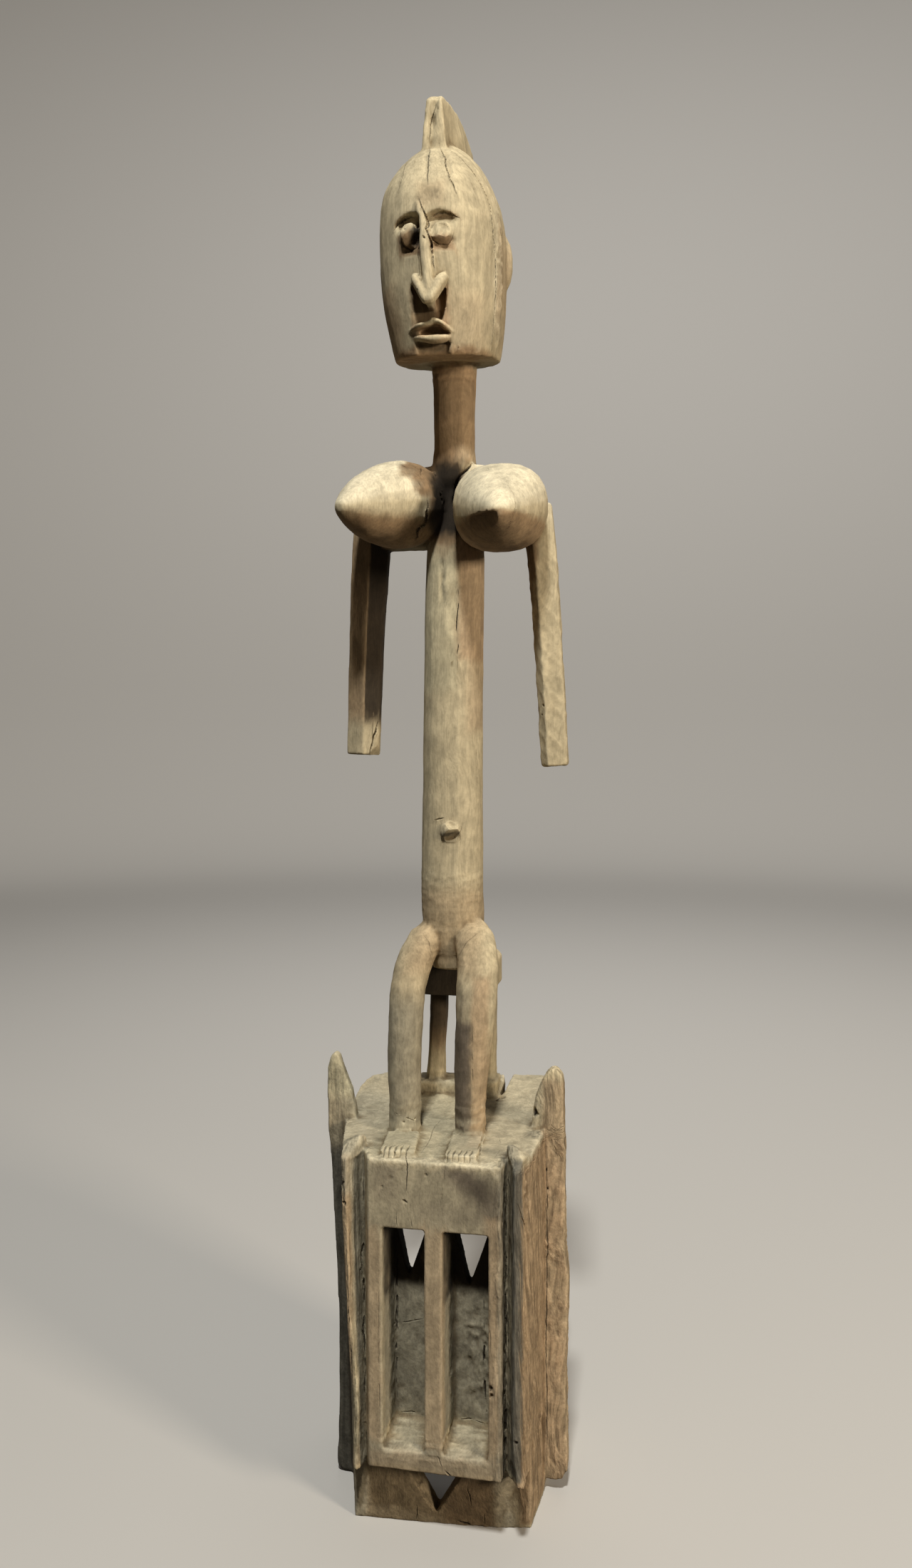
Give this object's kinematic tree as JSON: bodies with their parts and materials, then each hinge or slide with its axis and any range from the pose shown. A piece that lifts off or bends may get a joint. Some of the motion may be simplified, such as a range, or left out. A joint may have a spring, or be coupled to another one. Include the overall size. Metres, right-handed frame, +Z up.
{
  "type": "dogon satimbe mask",
  "caption": "Carved wooden face mask, a tall box open behind and below with grooved front and eye holes, crowned by a slender seated woman on a stool.",
  "frame": {"origin": "on the plane of the mask's lower rim, under the middle of the whole object's box", "axes": "+Z up the carved figure, +Y from the carved front to the open back, +X to the right of someone who looks at the front"},
  "size_m": [0.2498, 0.2392, 1.3915],
  "materials": {
    "weathered_wood": "dry, matt, pale grey-brown carved wood with tool marks, long cracks along the grain and dusty hollows"
  },
  "bodies": {
    "root": {"satimbe_mask": "weathered_wood"}
  },
  "joints": []
}
